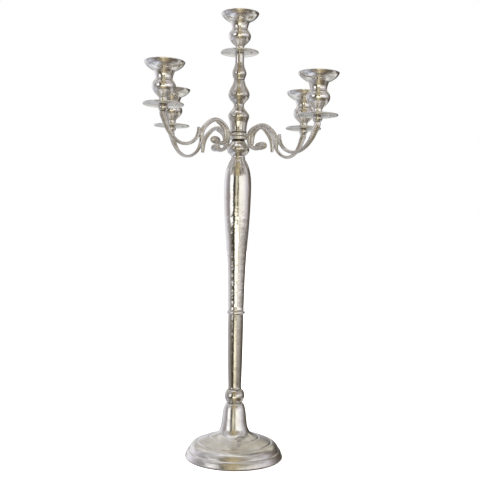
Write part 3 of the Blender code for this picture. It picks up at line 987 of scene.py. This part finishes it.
def light_matrix(joint: dict) -> Matrix:
    """Find where a light stands and which way it points.

    Args:
        joint: the record's row of the joint that its cup turns on.

    Returns:
        The light's frame, with its origin under the pan and +Z up its own axis.
    """
    up = Vector(joint["axis"]).normalized()
    turn = up.to_track_quat("Z", "Y").to_matrix().to_4x4()
    return Matrix.Translation(joint["pos_m"]) @ turn


def pair_matrices(front: Matrix, back: Matrix, drop: float) -> tuple[Matrix, Matrix]:
    """Return the leaning frame of an arm pair and the upright frame of its eye.

    Args:
        front: the front light's frame.
        back: the back light's frame.
        drop: how far the eye's middle lies below the line between the two, in metres.

    Returns:
        The arms' frame with +X towards the front light, and the eye's frame.
    """
    up = front.to_3x3() @ Vector((0.0, 0.0, 1.0))
    along = (front.translation - back.translation).normalized()
    side = up.cross(along).normalized()
    middle = (front.translation + back.translation) / 2 - up * drop
    turn = Matrix((along, side, up)).transposed().to_4x4()
    return Matrix.Translation(middle) @ turn, Matrix.Translation(middle)


@dataclass(frozen=True)
class Surroundings:
    """The room that the metal mirrors: one row of colours by bearing for each height.

    Bearings run in degrees from the front, and each row ends as it starts.  An edge holds the
    heights between which its row takes over from the wall.
    """

    wall: Bands = (
        (-180.0, (0.62, 0.62, 0.66)), (-150.0, (0.96, 0.96, 1.00)), (-122.0, (0.88, 0.86, 0.94)),
        (-108.0, (0.62, 0.60, 0.66)), (-96.0, (0.38, 0.36, 0.38)), (-70.0, (0.34, 0.32, 0.33)),
        (-63.0, (1.40, 1.40, 1.42)), (-41.0, (1.40, 1.40, 1.42)), (-36.0, (0.12, 0.11, 0.11)),
        (-20.0, (0.05, 0.05, 0.04)), (-16.0, (0.60, 0.56, 0.42)), (-3.0, (0.86, 0.82, 0.64)),
        (1.0, (0.16, 0.13, 0.08)), (7.0, (0.16, 0.13, 0.08)), (12.0, (1.00, 0.97, 0.82)),
        (26.0, (1.22, 1.20, 1.14)), (60.0, (1.12, 1.10, 1.12)), (76.0, (0.84, 0.81, 0.87)),
        (92.0, (0.62, 0.59, 0.64)), (104.0, (0.46, 0.43, 0.45)), (116.0, (0.20, 0.17, 0.15)),
        (146.0, (0.07, 0.06, 0.05)), (162.0, (0.10, 0.09, 0.08)), (180.0, (0.62, 0.62, 0.66)),
    )
    skirting: Bands = (
        (-180.0, (0.36, 0.36, 0.36)), (-150.0, (0.44, 0.44, 0.47)), (-122.0, (0.76, 0.76, 0.83)),
        (-100.0, (0.62, 0.61, 0.66)), (-82.0, (0.36, 0.34, 0.33)), (-62.0, (0.16, 0.15, 0.12)),
        (-50.0, (0.08, 0.07, 0.05)), (-24.0, (0.06, 0.05, 0.03)), (-19.0, (0.60, 0.57, 0.43)),
        (-13.0, (1.95, 1.88, 1.60)), (9.0, (2.00, 1.92, 1.66)), (18.0, (0.78, 0.74, 0.67)),
        (66.0, (0.70, 0.67, 0.65)), (86.0, (0.46, 0.43, 0.41)), (98.0, (0.18, 0.16, 0.14)),
        (112.0, (0.16, 0.14, 0.12)), (146.0, (0.07, 0.06, 0.05)), (162.0, (0.20, 0.19, 0.18)),
        (180.0, (0.36, 0.36, 0.36)),
    )
    ceiling: Bands = (
        (-180.0, (0.60, 0.56, 0.49)), (-120.0, (0.72, 0.71, 0.73)), (-85.0, (0.54, 0.53, 0.56)),
        (-50.0, (0.64, 0.61, 0.60)), (-28.0, (0.28, 0.25, 0.19)), (-12.0, (0.56, 0.47, 0.29)),
        (10.0, (0.50, 0.41, 0.25)), (26.0, (0.38, 0.34, 0.28)), (52.0, (0.68, 0.65, 0.64)),
        (90.0, (0.56, 0.54, 0.55)), (115.0, (0.24, 0.22, 0.20)), (150.0, (0.56, 0.53, 0.46)),
        (180.0, (0.60, 0.56, 0.49)),
    )
    zenith: Bands = (
        (-180.0, (0.62, 0.59, 0.53)), (-100.0, (0.74, 0.73, 0.76)), (-70.0, (1.22, 1.20, 1.28)),
        (-30.0, (1.12, 1.11, 1.15)), (-12.0, (0.58, 0.55, 0.48)), (14.0, (0.60, 0.57, 0.50)),
        (30.0, (1.12, 1.10, 1.12)), (60.0, (1.00, 0.98, 1.02)), (82.0, (0.14, 0.13, 0.12)),
        (112.0, (0.24, 0.23, 0.22)), (140.0, (0.56, 0.53, 0.48)), (180.0, (0.62, 0.59, 0.53)),
    )
    ground: Bands = (
        (-180.0, (0.74, 0.74, 0.71)), (-125.0, (0.68, 0.70, 0.78)), (-85.0, (0.56, 0.58, 0.66)),
        (-58.0, (0.22, 0.20, 0.20)), (-38.0, (0.30, 0.27, 0.23)), (-16.0, (0.46, 0.39, 0.26)),
        (0.0, (0.70, 0.63, 0.45)), (14.0, (0.42, 0.34, 0.21)), (36.0, (0.24, 0.20, 0.15)),
        (70.0, (0.13, 0.11, 0.09)), (95.0, (0.40, 0.38, 0.36)), (135.0, (0.70, 0.69, 0.66)),
        (180.0, (0.74, 0.74, 0.71)),
    )
    skirting_edge: Point = (-0.06, -0.14)
    ceiling_edge: Point = (0.28, 0.37)
    zenith_edge: Point = (0.86, 0.95)
    ground_edge: Point = (-0.24, -0.36)
    warp: float = 0.14
    warp_scale: float = 2.6
    mottle: float = 0.45
    mottle_scale: float = 3.6
    mottle_edges: Point = (0.34, 0.66)

    def paint(self, graph: NodeGraph, way: bpy.types.NodeSocket) -> bpy.types.NodeSocket:
        """Return the room's colour in a direction.

        Args:
            graph: the world's node graph.
            way: the direction looked in.

        Returns:
            The colour output.
        """
        drift = graph.add("TexNoise", {"Vector": way, "Scale": self.warp_scale, "Detail": 3.0})
        centred = graph.add("VectorMath", {0: drift.outputs["Color"], 1: (0.5, 0.5, 0.5)},
                            operation="SUBTRACT")
        scaled = graph.add("VectorMath", {0: centred.outputs[0], "Scale": self.warp},
                           operation="SCALE")
        bent = graph.add("VectorMath", {0: way, 1: scaled.outputs[0]}, operation="ADD")
        parts = graph.add("SeparateXYZ", {0: bent.outputs[0]})
        front = graph.math("MULTIPLY", parts.outputs["Y"], -1.0)
        bearing = graph.math("ARCTAN2", parts.outputs["X"], front)
        share = graph.span(bearing, -math.pi, math.pi)
        height = parts.outputs["Z"]
        room = self.row(graph, self.wall, share)
        specks = graph.add("TexNoise", {"Vector": way, "Scale": self.mottle_scale,
                                        "Detail": 3.0})
        tone = graph.span(specks.outputs["Fac"], *self.mottle_edges, 1.0 - self.mottle,
                          1.0 + self.mottle)
        tint = graph.add("CombineXYZ", {0: tone, 1: tone, 2: tone}).outputs[0]
        for bands, (near, far) in ((self.skirting, self.skirting_edge),
                                   (self.ceiling, self.ceiling_edge),
                                   (self.zenith, self.zenith_edge),
                                   (self.ground, self.ground_edge)):
            colour = graph.blend(1.0, self.row(graph, bands, share), tint, "MULTIPLY")
            step = graph.add("MapRange", {"Value": height, "From Min": near, "From Max": far},
                             interpolation_type="SMOOTHSTEP").outputs["Result"]
            room = graph.blend(step, room, colour)
        return room

    @staticmethod
    def row(graph: NodeGraph, bands: Bands, share: bpy.types.NodeSocket) -> bpy.types.NodeSocket:
        """Look up a row of colours.

        Args:
            graph: the world's node graph.
            bands: the row's colours by bearing.
            share: the bearing as a share of the full turn.

        Returns:
            The colour output.
        """
        ramp = graph.add("ValToRGB", {"Fac": share})
        stops = ramp.color_ramp.elements
        stops.remove(stops[1])
        for index, (degrees, colour) in enumerate(bands):
            position = (degrees + 180.0) / 360.0
            stop = stops.new(position) if index else stops[0]
            stop.position = position
            stop.color = (*colour, 1.0)
        return ramp.outputs["Color"]


@dataclass(frozen=True)
class Studio:
    """Pale floor, soft light and the surroundings that the metal mirrors."""

    white: float = 1.0
    room: Surroundings = Surroundings()
    floor_size: float = 12.0
    floor_tone: Colour = (0.9, 0.9, 0.9)
    lamp_power: float = 4.2
    lamp_spread_deg: float = 60.0
    lamp_tilt_deg: Point = (8.0, -6.0)

    def build(self) -> None:
        """Build the surroundings, the floor and the lamp that brightens it."""
        self.surroundings()
        self.floor()
        self.lamp()

    def surroundings(self) -> None:
        """Give the world its mirrored room, and plain white for the eye."""
        world = bpy.data.worlds.new("studio")
        bpy.context.scene.world = world
        world.use_nodes = True
        graph = NodeGraph(world.node_tree)
        world.node_tree.nodes.clear()
        way = graph.add("TexCoord").outputs["Generated"]
        seen = graph.add("LightPath").outputs["Is Camera Ray"]
        mirrored = graph.add("Background", {"Color": self.room.paint(graph, way),
                                            "Strength": 1.0})
        plain = graph.add("Background", {"Color": (self.white, self.white, self.white, 1.0),
                                         "Strength": 1.0})
        mix = graph.add("MixShader", {0: seen, 1: mirrored.outputs[0], 2: plain.outputs[0]})
        graph.add("OutputWorld", {"Surface": mix.outputs[0]})

    def floor(self) -> None:
        """Lay a wide pale floor that the metal doesn't mirror."""
        work = bmesh.new()
        bmesh.ops.create_grid(work, x_segments=1, y_segments=1, size=self.floor_size)
        mesh = bpy.data.meshes.new("floor")
        work.to_mesh(mesh)
        work.free()
        floor = bpy.data.objects.new("floor", mesh)
        bpy.context.scene.collection.objects.link(floor)
        paint = bpy.data.materials.new("floor_paint")
        paint.use_nodes = True
        shader = paint.node_tree.nodes["Principled BSDF"]
        shader.inputs["Base Color"].default_value = (*self.floor_tone, 1.0)
        shader.inputs["Roughness"].default_value = 1.0
        shader.inputs["Specular IOR Level"].default_value = 0.0
        mesh.materials.append(paint)
        floor.visible_glossy = False

    def lamp(self) -> None:
        """Hang a wide soft lamp overhead that lights the floor and isn't mirrored."""
        data = bpy.data.lights.new("soft_top", "SUN")
        data.energy = self.lamp_power
        data.angle = math.radians(self.lamp_spread_deg)
        lamp = bpy.data.objects.new("soft_top", data)
        bpy.context.scene.collection.objects.link(lamp)
        tilt, lean = self.lamp_tilt_deg
        lamp.rotation_euler = (math.radians(tilt), math.radians(lean), 0.0)
        lamp.visible_glossy = False


@dataclass(frozen=True)
class Viewpoint:
    """The camera: level, about half way up the candelabra, rolled very slightly."""

    distance: float = 1.360
    height: float = 0.412
    focal_share: float = 1.5667
    drop_share: float = -0.025
    side_share: float = 0.00625
    roll_deg: float = 0.86
    sensor_mm: float = 36.0

    def build(self) -> None:
        """Create the camera and make it the scene's."""
        data = bpy.data.cameras.new("camera")
        data.sensor_width = self.sensor_mm
        data.lens = self.focal_share * data.sensor_width
        data.shift_x = self.side_share
        data.shift_y = self.drop_share
        camera = bpy.data.objects.new("camera", data)
        bpy.context.scene.collection.objects.link(camera)
        camera.location = (0.0, -self.distance, self.height)
        camera.rotation_euler = (math.radians(90.0), math.radians(-self.roll_deg), 0.0)
        bpy.context.scene.camera = camera


def dress_hardware(frame: dict, finishes: dict[Slot, bpy.types.Material]) -> None:
    """Give every CAD node its finish, so that those no piece replaces have theirs.

    Args:
        frame: the loaded frame.
        finishes: the finished materials by slot.
    """
    for row in frame["record"]["subparts"]:
        node = frame["nodes"][row["node"]]
        for slot in node.material_slots:
            slot.material = finishes[Slot(row["material_slot"])]


def main() -> None:
    """Build the candelabra's look in order."""
    logging.basicConfig(level=logging.INFO, format="%(message)s")
    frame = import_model()
    scene = bpy.context.scene
    scene.view_settings.view_transform = "Standard"
    Viewpoint().build()
    Studio().build()
    finishes = make_finishes()
    dress_hardware(frame, finishes)
    maker = PieceMaker(finishes)
    Stand().build(maker)

    joints = {joint["name"]: joint for joint in frame["record"]["behaviour"]["joints"]}
    seats = {name: light_matrix(joints[name + "_cup_turn"]) for name in LIGHTS}
    holders = {name: joints[name + "_cup_rise"]["parent"] for name in seats}
    for name, seat in seats.items():
        Light(name, seat, holders[name], collar=name != "top").build(maker)
    for node, body, front, back in (
            ("arm_pair_lower", "lower_arms", "front_right", "back_left"),
            ("arm_pair_upper", "upper_arms", "front_left", "back_right")):
        hub, eye = pair_matrices(seats[front], seats[back], HUB_DROP * MM)
        ArmPair(node, body, hub, eye).build(maker)


if __name__ == "__main__":
    main()
